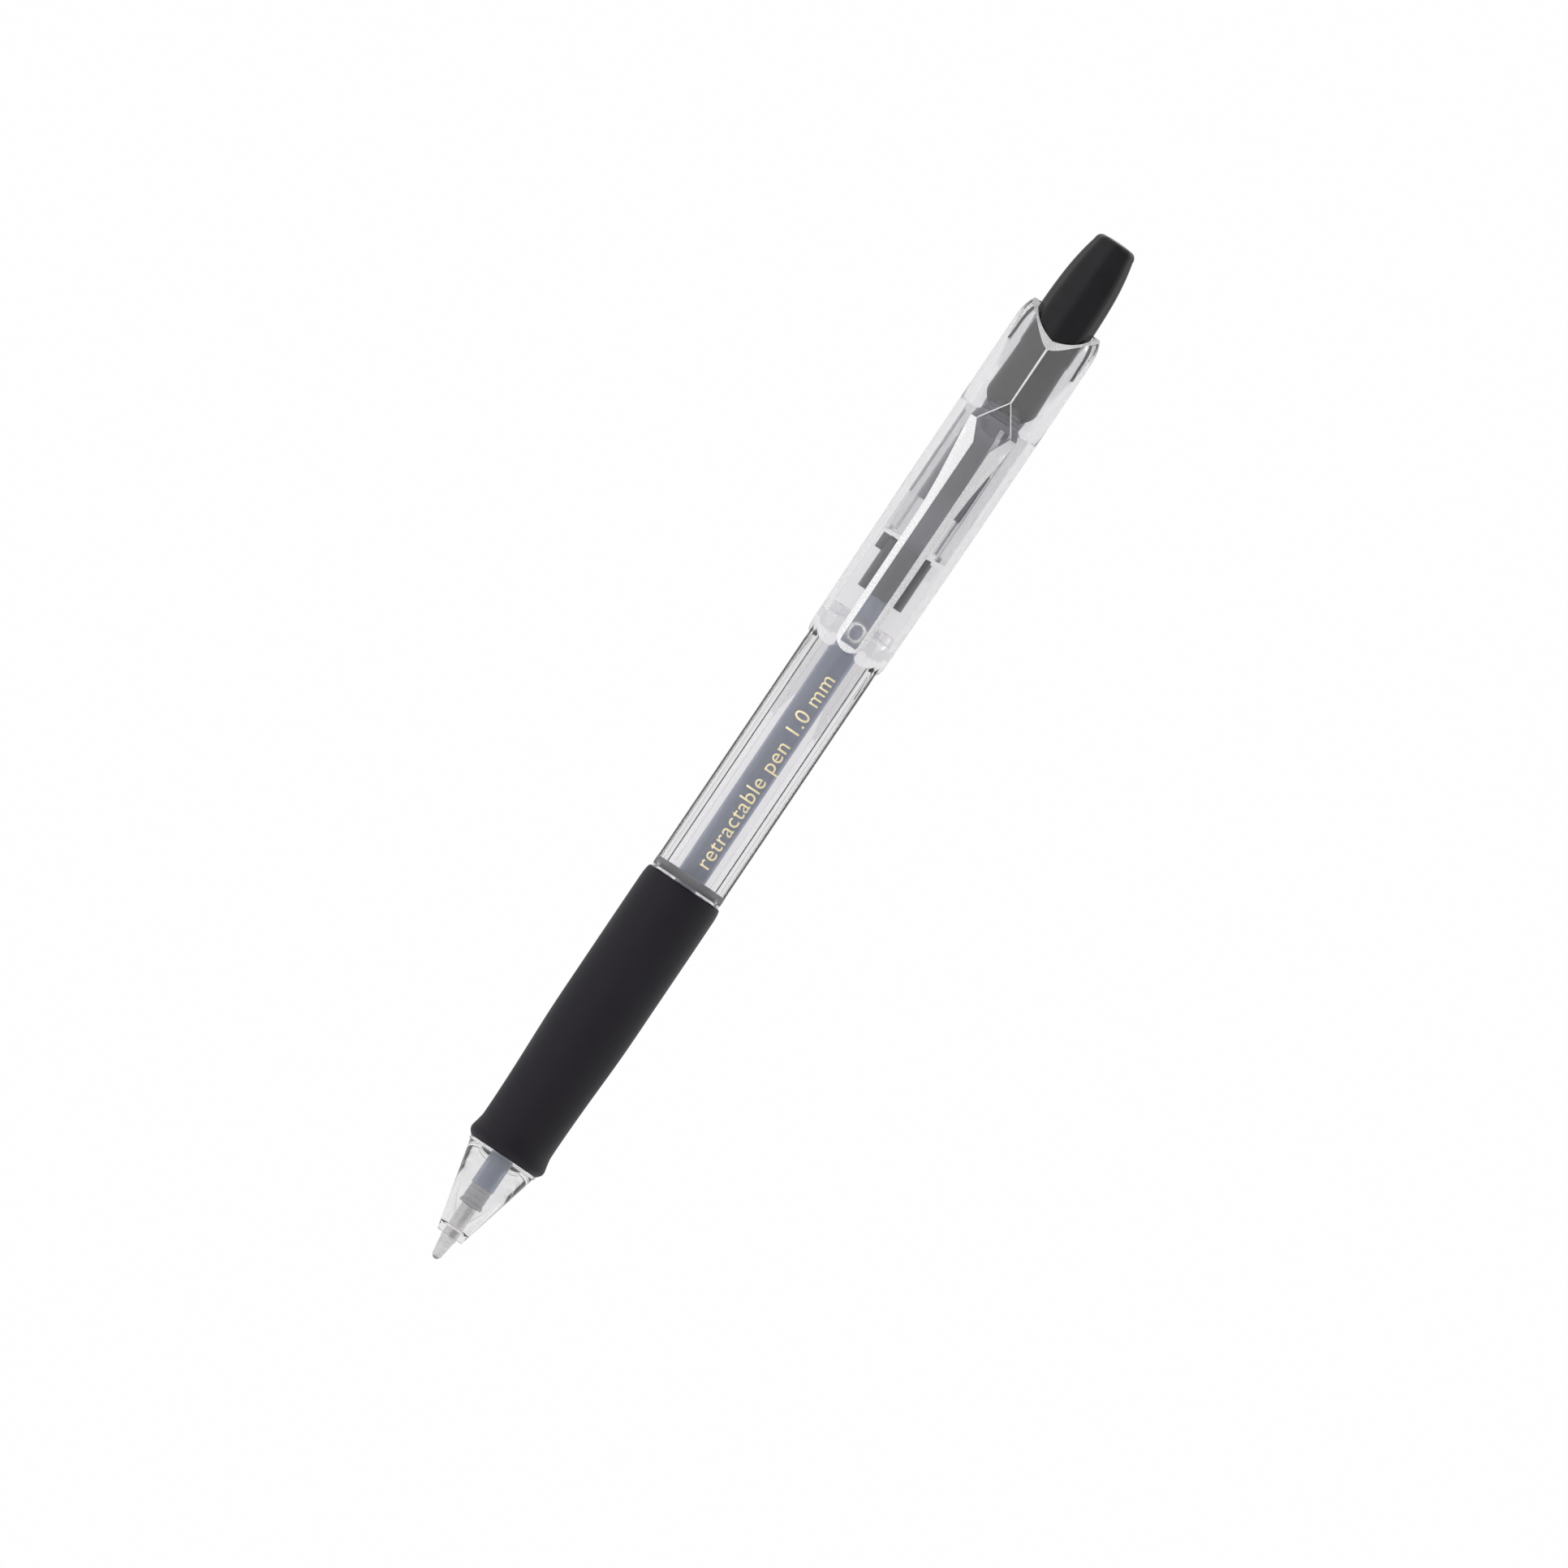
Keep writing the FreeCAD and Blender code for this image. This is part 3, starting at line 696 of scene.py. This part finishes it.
def make_tongue():
    """Clip tongue: flat rib, bevels, rounded free end, and a root that flares into the head."""
    end = CLIP_END_Z + CLIP_WIDTH
    heights = [end - CLIP_WIDTH * math.cos(a) for a in spread(0.06, math.pi / 2, 14)]
    heights += spread(end + 0.9, 115.8, 24) + spread(116.1, CLIP[-1][0], 24)
    columns = []
    for z in heights:
        width, rib, front, bevel, inner, back = straight_through(CLIP, z)
        if z < end:
            width = math.sqrt(max(CLIP_WIDTH ** 2 - (end - z) ** 2, 0.01))
            rib = min(rib, 0.75 * width)
            back = min(back, 0.75 * width)
            front += 0.25 * ((end - z) / CLIP_WIDTH) ** 4
        outline = [(-back, inner), (-width, bevel), (-rib, front)]
        outline += [(rib, front), (width, bevel), (back, inner)]
        columns.append([Vector((x, y, z)) for x, y in soften(outline, 0.1, 3)])
    return shell("tongue", columns, close=False)


def make_bead():
    """Round bead under the tongue's end."""
    radius, centre_y, centre_z = 1.4, -6.84, CLIP_END_Z + 2.6
    flat = CLIP_INNER_Y - 0.2
    start = math.acos((flat - centre_y) / radius)
    arc = [(radius * math.sin(a), centre_y + radius * math.cos(a)) for a in spread(0, start, 14)]
    arc.append((0, flat))
    columns = []
    for a in angles(48):
        columns.append([Vector((r * math.cos(a), y, centre_z + r * math.sin(a))) for r, y in arc])
    return shell("bead", columns, 40)


def make_sleeve():
    """Clear sleeve with its faceted head, the button's mouth, and the clip, in one moulding."""
    shares = [i / FACET_COLUMNS for i in range(FACET_COLUMNS + 1)]
    shares += [1 + (i + 1) / SIDE_COLUMNS for i in range(SIDE_COLUMNS)]
    shares += [-s for s in reversed(shares[1:-1])]
    sleeve = shell("clip_sleeve_clear", [sleeve_column(s) for s in shares])
    return joined(sleeve, [make_tongue(), make_bead()])


def frost_and_highlight_edges(sleeve, material):
    """Gives the clip's bevels and rib edges, the head's ridge and the mouth's rim a frosted finish; its
    near-white haze is also a painted highlight for the bright lines that internal reflection gives
    these edges.
    """
    sleeve.data.materials.append(material)
    for face in sleeve.data.polygons:
        x, y, z = face.center / MM
        _, rib, front, bevel, _, _ = straight_through(CLIP, z)
        on_bevel = z < CLIP[-2][0] and front + 0.03 < y < bevel + 0.1
        on_ridge = z > CLIP[-2][0] and y < RIDGE_FRONT_Y + 0.2 and abs(abs(x) - rib) < 0.07
        on_rim = z > RIM_FRONT_Z - 0.2 and y < 0 and face.normal.z > 0.6
        if on_bevel or on_ridge or on_rim:
            face.material_index = 1


# ---------------------------------------------------------------- push button

def button_section():
    """Angles and radii round the button's eight-sided section: soft front ridge, crisper shoulders."""
    ridge_y, shoulder, side = 3.8, (2.75, 2.65), (3.72, 0.9)
    right = [(0, -ridge_y, 2.4), (shoulder[0], -shoulder[1], 0.55), (side[0], -side[1], 0.35)]
    right += [(side[0], side[1], 0.35), (shoulder[0], shoulder[1], 0.55), (0, ridge_y, 2.4)]
    left = [(-x, y, fillet) for x, y, fillet in reversed(right[1:-1])]
    corners = soften(right + left, 0.5, 10)
    section = []
    for here, there in zip(corners, corners[1:] + corners[:1]):
        parts = max(1, math.ceil((there - here).length / 0.25))
        section += [here.lerp(there, i / parts) for i in range(parts)]
    return [(math.atan2(p.x, -p.y), p.length) for p in section]


def make_button():
    """Glossy faceted button with a domed end, on a round skirt with a half-moon lower edge."""
    cap_low = 129.0
    stations = [
        (cap_low, 0.985),
        (RIM_Z, 1.0),
        (BUTTON_TOP - 6.2, 0.95),
        (BUTTON_TOP - 3.0, 0.84),
        (BUTTON_TOP, 0.66),
    ]
    centre = button_low.z + SKIRT_END_R
    dome = 1.15
    columns = []
    for a, size in button_section():
        low_in = centre - math.sqrt(SKIRT_END_R ** 2 - (SOCKET_R * math.sin(a)) ** 2)
        low_out = centre - math.sqrt(SKIRT_END_R ** 2 - (SKIRT_R * math.sin(a)) ** 2)
        outline = [(SOCKET_R, low_in, 0.05), (SKIRT_R, low_out, 0.08)]
        outline += [(SKIRT_R, z, 0) for z in spread(126.6, cap_low - 0.3, 3)]
        for z in spread(cap_low, BUTTON_TOP - dome, 22):
            outline.append((size * curve_through(stations, z)[0], z, 0))
        edge = size * curve_through(stations, BUTTON_TOP - dome)[0]
        for t in spread(0.12, 1.0, 9):
            turn = t * math.pi / 2
            shrink = 1 - 0.36 * (1 - math.cos(turn)) ** 1.1
            outline.append((edge * shrink, BUTTON_TOP - dome + (dome - 0.12) * math.sin(turn), 0))
        outline += [(edge * 0.35, BUTTON_TOP - 0.03, 0), (0, BUTTON_TOP, 0)]
        outline += [(0, SOCKET_TOP, 0), (SOCKET_R, SOCKET_TOP, 0.05)]
        columns.append([at(a, r, z) for r, z in soften(outline, 0.05)])
    return shell("push_button_cap", columns, 24)


# ---------------------------------------------------------------- return spring

def spring_tree(material):
    """Node tree that bends wire into a coil spring with a given size and number of turns."""
    tree = bpy.data.node_groups.new("coil_spring", "GeometryNodeTree")
    tree.interface.new_socket("Geometry", in_out="OUTPUT", socket_type="NodeSocketGeometry")
    for name in ("Turns", "Coil radius", "Wire radius", "Length", "Low end"):
        tree.interface.new_socket(name, in_out="INPUT", socket_type="NodeSocketFloat")

    def add(kind, settings=None, **inputs):
        made = tree.nodes.new(kind)
        for key, value in (settings or {}).items():
            setattr(made, key, value)
        for key, value in inputs.items():
            socket = made.inputs[key.replace("_", " ")]
            if isinstance(value, bpy.types.NodeSocket):
                tree.links.new(value, socket)
            else:
                socket.default_value = value
        return made

    given = add("NodeGroupInput").outputs
    coil = add(
        "GeometryNodeCurveSpiral", Resolution=40, Rotations=given["Turns"], Height=given["Length"],
        Start_Radius=given["Coil radius"], End_Radius=given["Coil radius"],
    )
    lift = add("ShaderNodeCombineXYZ", Z=given["Low end"])
    placed = add("GeometryNodeTransform", Geometry=coil.outputs[0], Translation=lift.outputs[0])
    section = add("GeometryNodeCurvePrimitiveCircle", Resolution=14, Radius=given["Wire radius"])
    wire = add(
        "GeometryNodeCurveToMesh", Curve=placed.outputs[0], Profile_Curve=section.outputs[0],
        Fill_Caps=True,
    )
    real = add("GeometryNodeRealizeInstances", Geometry=wire.outputs[0])
    painted = add("GeometryNodeSetMaterial", Geometry=real.outputs[0], Material=material)
    out = add("NodeGroupOutput")
    tree.links.new(painted.outputs[0], out.inputs[0])
    return tree


def make_spring(material):
    """Return spring between the barrel's web and the tube's ears."""
    wire = 0.175
    sizes = {
        "Turns": 9.0,
        "Coil radius": (spring_high.x - wire) * MM,
        "Wire radius": wire * MM,
        "Length": (spring_high.z - spring_low.z - 2 * wire) * MM,
        "Low end": (spring_low.z + wire) * MM,
    }
    spring = bpy.data.objects.new("spring", bpy.data.meshes.new("spring"))
    bpy.context.scene.collection.objects.link(spring)
    modifier = spring.modifiers.new("coil", "NODES")
    modifier.node_group = spring_tree(material)
    for socket in modifier.node_group.interface.items_tree:
        if socket.in_out == "INPUT":
            modifier[socket.identifier] = sizes[socket.name]
    bpy.context.view_layer.update()
    apply_modifiers(spring)
    spring.data.shade_smooth()
    return spring


# ---------------------------------------------------------------- printed lettering

def on_barrel(x, lift):
    """Point of the barrel's front at a sideways place, lifted off its surface."""
    a = 0.0
    for _ in range(12):
        a = math.asin(max(-1.0, min(1.0, x / hexagon(a))))
    radius = hexagon(a) + lift
    return radius * math.sin(a), -radius * math.cos(a)


def make_print(text, height, start, base_x):
    """Raised ink of one line of lettering that runs up the barrel, wrapped onto its front."""
    ink, step = 0.022, 0.12
    curve = bpy.data.curves.new("lettering", "FONT")
    curve.body = text
    curve.size = height
    curve.space_character = 1.06
    curve.resolution_u = 5
    source = bpy.data.objects.new("lettering", curve)
    bpy.context.scene.collection.objects.link(source)
    bpy.context.view_layer.update()
    flat = bpy.data.meshes.new_from_object(source.evaluated_get(bpy.context.evaluated_depsgraph_get()))
    bpy.data.objects.remove(source)
    bm = bmesh.new()
    bm.from_mesh(flat)
    bmesh.ops.remove_doubles(bm, verts=bm.verts, dist=1e-3)
    top = max(v.co.y for v in bm.verts)
    low = min(v.co.y for v in bm.verts)
    for i in range(1, int((top - low) / step) + 1):
        geometry = list(bm.verts) + list(bm.edges) + list(bm.faces)
        bmesh.ops.bisect_plane(bm, geom=geometry, plane_co=(0, low + i * step, 0), plane_no=(0, 1, 0))
    raised = bmesh.ops.extrude_face_region(bm, geom=list(bm.faces))["geom"]
    for v in raised:
        if isinstance(v, bmesh.types.BMVert):
            v.co.z = ink
    for v in bm.verts:
        x, y = on_barrel(base_x - v.co.y, 0.002 + v.co.z)
        v.co = Vector((x, y, start + v.co.x))
    return finish_mesh(bm, "print_line", 50)


# ---------------------------------------------------------------- finishes

def clear_plastic(name, haze, tint):
    """Clear moulded plastic with a slight haze, a faint drift of colour and fine handling marks."""
    paint = Paint(name, IOR=1.5, Transmission_Weight=1.0 - haze)
    waves = paint.noise(0.004, 2.0, (1.0, 1.0, 0.25))
    marks = paint.noise(0.0004, 4.0, (1.0, 1.0, 0.12))
    deeper = tuple(channel - 0.012 for channel in tint)
    paint.set(Base_Color=paint.mix(paint.ramp(waves, 0.4, 0.6), tint, deeper))
    paint.set(Roughness=paint.ramp(marks, 0.45, 0.75, 0.003, 0.012))
    paint.bump(marks, 0.000001, 0.15)
    return paint.material


def frosted_plastic(name, tint, haze, roughness):
    """Hazy moulded plastic with a fine grain."""
    paint = Paint(name, Base_Color=tint, Roughness=roughness, IOR=1.48, Transmission_Weight=1.0 - haze)
    grain = paint.noise(0.0002, 4.0)
    paint.set(Roughness=paint.ramp(grain, 0.3, 0.7, roughness * 0.8, roughness * 1.25))
    paint.bump(grain, 0.000012, 0.5)
    return paint.material


def rubber():
    """Soft dark rubber: dusty fine grain, faint mottling, broad dull sheen."""
    paint = Paint("soft_rubber", Roughness=0.5, Specular_IOR_Level=0.3)
    grain = paint.noise(0.00016, 5.0, roughness=0.65)
    mottle = paint.noise(0.006, 3.0, (1.0, 1.0, 0.5))
    dust = paint.ramp(grain * 0.4 + mottle * 0.6, 0.42, 0.66)
    paint.set(Base_Color=paint.mix(dust, (0.0064, 0.0046, 0.0082), (0.0100, 0.0084, 0.0134)))
    paint.set(Roughness=paint.ramp(mottle, 0.35, 0.65, 0.47, 0.6))
    paint.bump(grain * 0.7 + mottle * 0.3, 0.00003, 0.5)
    return paint.material


def moulded_plastic(name, dark, light, rough_low, rough_high):
    """Opaque moulded plastic: faint colour drift, fine flow lines, hairline marks."""
    paint = Paint(name, IOR=1.5, Specular_IOR_Level=0.35)
    drift = paint.noise(0.003, 3.0)
    marks = paint.noise(0.00025, 4.0, (1.0, 1.0, 0.15))
    paint.set(Base_Color=paint.mix(paint.ramp(drift, 0.35, 0.65), dark, light))
    paint.set(Roughness=paint.ramp(marks, 0.4, 0.7, rough_low, rough_high))
    paint.bump(drift * 0.6 + marks * 0.4, 0.000012, 0.35)
    return paint.material


def turned_metal():
    """Turned nickel silver: fine rings round the axis, satin, faintly warm."""
    paint = Paint("turned_nickel_silver", Metallic=1.0)
    rings = paint.noise(0.00012, 3.0, (0.02, 0.02, 1.0))
    stain = paint.noise(0.0012, 3.0)
    stained = paint.ramp(stain, 0.35, 0.7)
    paint.set(Base_Color=paint.mix(stained, (0.80, 0.795, 0.79), (0.64, 0.635, 0.63)))
    paint.set(Roughness=paint.ramp(rings, 0.3, 0.7, 0.22, 0.42))
    paint.bump(rings, 0.00001, 0.6)
    return paint.material


def bright_metal(name, colour, rough_low, rough_high):
    """Bright hard metal with faint drawing or grinding marks."""
    paint = Paint(name, Metallic=1.0, Base_Color=colour)
    marks = paint.noise(0.0001, 4.0, (1.0, 1.0, 0.3))
    paint.set(Roughness=paint.ramp(marks, 0.35, 0.7, rough_low, rough_high))
    paint.bump(marks, 0.000004, 0.4)
    return paint.material


def ink_finish():
    """Wet black ink with thin patches where it has drawn away from the tube."""
    paint = Paint("black_ink", Roughness=0.12, Coat_Weight=0.4, Coat_Roughness=0.08)
    film = paint.noise(0.0025, 4.0, (1.0, 1.0, 0.2))
    thin = paint.ramp(film, 0.4, 0.7)
    paint.set(Base_Color=paint.mix(thin, (0.006, 0.006, 0.010), (0.016, 0.017, 0.026)))
    return paint.material


def gold_ink():
    """Pale gold ink with fine metallic flakes."""
    paint = Paint("gold_ink", Metallic=0.1, Specular_IOR_Level=0.5)
    flakes = paint.noise(0.00008, 3.0)
    glint = paint.ramp(flakes, 0.35, 0.7)
    paint.set(Base_Color=paint.mix(glint, (0.90, 0.76, 0.45), (0.98, 0.90, 0.62)))
    paint.set(Roughness=paint.ramp(flakes, 0.3, 0.7, 0.3, 0.5))
    paint.bump(flakes, 0.000008, 0.5)
    return paint.material


# ---------------------------------------------------------------- assembly

clear_barrel = clear_plastic("clear_barrel_plastic", 0.03, (0.972, 0.966, 0.978))
clear_sleeve = clear_plastic("clear_sleeve_plastic", 0.055, (0.972, 0.968, 0.982))
# near-white frosted finish that also paints the bright internal-reflection lines on the clip's bevels,
# the head's ridge and the mouth's rim
frosted_edge_painted_highlight = frosted_plastic("frosted_edge_painted_highlight_plastic", (0.985, 0.985, 0.99), 0.7, 0.25)
# frosted finish whose grey tint paints the shade in the groove behind the grip
frosted_groove_painted_shade = frosted_plastic("frosted_groove_painted_shade_plastic", (0.66, 0.66, 0.71), 0.6, 0.3)
clear_nose = clear_plastic("clear_nose_plastic", 0.02, (0.975, 0.970, 0.975))
hazy_insert = frosted_plastic("hazy_insert_plastic", (0.965, 0.965, 0.975), 0.06, 0.06)
tube_finish = frosted_plastic("milky_tube_plastic", (0.72, 0.79, 0.95), 0.45, 0.12)
holder_finish = frosted_plastic("pale_holder_plastic", (0.80, 0.80, 0.82), 0.75, 0.32)
grease_finish = frosted_plastic("clear_grease", (0.93, 0.90, 0.80), 0.25, 0.12)
black_button = moulded_plastic(
    "polished_black_plastic", (0.0060, 0.0052, 0.0066), (0.0085, 0.0078, 0.0095), 0.06, 0.13
)
grey_plunger = moulded_plastic("dark_grey_plastic", (0.23, 0.24, 0.31), (0.28, 0.295, 0.37), 0.28, 0.42)
black_rotor = moulded_plastic(
    "satin_black_plastic", (0.050, 0.051, 0.070), (0.066, 0.068, 0.090), 0.25, 0.4
)
wire_finish = bright_metal("drawn_spring_wire", (0.62, 0.62, 0.63), 0.18, 0.34)
ball_finish = bright_metal("ground_carbide", (0.36, 0.36, 0.38), 0.08, 0.2)

put(make_ball(), "ball", "carbide", ball_finish, "writing_ball")
put(make_nib(), "refill", "nickel_silver", turned_metal(), "nib_tip")
put(make_holder(), "refill", "holder_plastic", holder_finish, "tip_holder")
put(make_tube(), "refill", "tube_plastic", tube_finish, "refill_tube")
put(make_ink(), "refill", "ink", ink_finish(), "ink_column")
put(make_grease(), "refill", "grease", grease_finish, "ink_follower")
put(make_nose(), "barrel", "clear_plastic", clear_nose, "nose_cone")
put(make_grip(), "barrel", "black_rubber", rubber(), "rubber_grip")
frost_and_shade_groove(put(make_barrel(), "barrel", "clear_plastic", clear_barrel, "barrel"), frosted_groove_painted_shade)
frost_and_highlight_edges(put(make_sleeve(), "barrel", "clear_plastic", clear_sleeve, "clip_sleeve"), frosted_edge_painted_highlight)
put(smooth_copy("cam_tube", "cam_insert"), "barrel", "frosted_plastic", hazy_insert, "cam_tube")
put(make_button(), "button", "black_gloss", black_button, "push_button")
put(smooth_copy("thruster", "plunger"), "button", "grey_plastic", grey_plunger, "thruster")
put(smooth_copy("cam_rotor", "ratchet_rotor"), "rotor", "dark_plastic", black_rotor, "cam_rotor")
put(make_print("retractable pen 1.0 mm", 2.7, 56.0, 1.2), "barrel", "gold_print", gold_ink())

spring = make_spring(wire_finish)
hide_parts("return_spring")
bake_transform(spring)


# ---------------------------------------------------------------- camera, light and floor

def make_camera():
    """Level camera in front of the clip, rolled so that the pen leans to the right."""
    lean = math.radians(33.98)
    frame_width = 0.1856
    right = Vector((math.cos(lean), 0, math.sin(lean)))
    up = Vector((-math.sin(lean), 0, math.cos(lean)))
    middle = Vector((0, 0, 72.5)) * MM
    aim = middle + right * (0.865 * MM) - up * (3.97 * MM)
    data = bpy.data.cameras.new("camera")
    data.type = "ORTHO"
    data.ortho_scale = frame_width
    data.clip_end = 10.0
    camera = bpy.data.objects.new("camera", data)
    camera.matrix_world = Matrix((
        (right.x, up.x, 0, aim.x),
        (right.y, up.y, -1, aim.y - 0.6),
        (right.z, up.z, 0, aim.z),
        (0, 0, 0, 1),
    ))
    bpy.context.scene.collection.objects.link(camera)
    bpy.context.scene.camera = camera


def make_studio():
    """White surround, with a soft dark flag in front of the pen and a little to its right."""
    flag_side, flag_core, flag_edge = math.radians(26), math.radians(25), math.radians(54)
    flag_depth, brightness = 0.5, 0.86
    world = bpy.data.worlds.new("studio")
    world.use_nodes = True
    bpy.context.scene.world = world
    shader = Shader(world.node_tree)
    background = world.node_tree.nodes["Background"]
    direction = shader.node("ShaderNodeTexCoord", output="Generated")
    x = shader.node("ShaderNodeSeparateXYZ", {}, {0: direction})
    y = Value(shader, x.socket.node.outputs[1])
    around = shader.node("ShaderNodeMath", {"operation": "ARCTAN2"}, {0: x, 1: 0 - y})
    away = shader.node("ShaderNodeMath", {"operation": "ABSOLUTE"}, {0: around - flag_side})
    flag = shader.ramp(away, flag_core, flag_edge, flag_depth, 0.0)
    camera_ray = shader.node("ShaderNodeLightPath", output="Is Camera Ray")
    level = (1.0 - flag) * brightness
    shader.put(background.inputs["Strength"], level + camera_ray * (1.0 - level))
    background.inputs["Color"].default_value = (1.0, 0.995, 0.998, 1.0)


def make_lamp(name, azimuth, elevation, power, width, height):
    """Strip lamp that faces the middle of the pen and isn't mirrored in it."""
    data = bpy.data.lights.new(name, "AREA")
    data.shape = "RECTANGLE"
    data.size, data.size_y = width, height
    data.energy = power
    lamp = bpy.data.objects.new(name, data)
    target = Vector((0, 0, 0.0725))
    out = math.cos(elevation)
    side = Vector((math.sin(azimuth) * out, -math.cos(azimuth) * out, math.sin(elevation)))
    lamp.location = target + side * 0.5
    lamp.visible_glossy = False
    lamp.visible_transmission = False
    lamp.rotation_mode = "QUATERNION"
    lamp.rotation_quaternion = side.to_track_quat("Z", "Y")
    bpy.context.scene.collection.objects.link(lamp)


def make_floor():
    """Plain pale floor a little under the writing point."""
    bm = bmesh.new()
    bmesh.ops.create_grid(bm, x_segments=8, y_segments=8, size=3.0)
    mesh = bpy.data.meshes.new("floor")
    bm.to_mesh(mesh)
    bm.free()
    floor = bpy.data.objects.new("floor", mesh)
    floor.location.z = -0.004
    paint = Paint("pale_floor", Roughness=0.8, Specular_IOR_Level=0.2)
    grain = paint.noise(0.02, 3.0)
    paint.set(Base_Color=paint.mix(grain, (0.86, 0.86, 0.87), (0.90, 0.90, 0.90)))
    mesh.materials.append(paint.material)
    bpy.context.scene.collection.objects.link(floor)


make_camera()
make_studio()
make_lamp("strip_left", math.radians(-38), math.radians(10), 1.1, 0.06, 0.4)
make_lamp("strip_back", math.radians(150), math.radians(20), 0.6, 0.08, 0.4)
make_floor()
bpy.context.scene.view_settings.view_transform = "Standard"
bpy.context.scene.cycles.max_bounces = 40
bpy.context.scene.cycles.transmission_bounces = 32
bpy.context.scene.cycles.transparent_max_bounces = 32
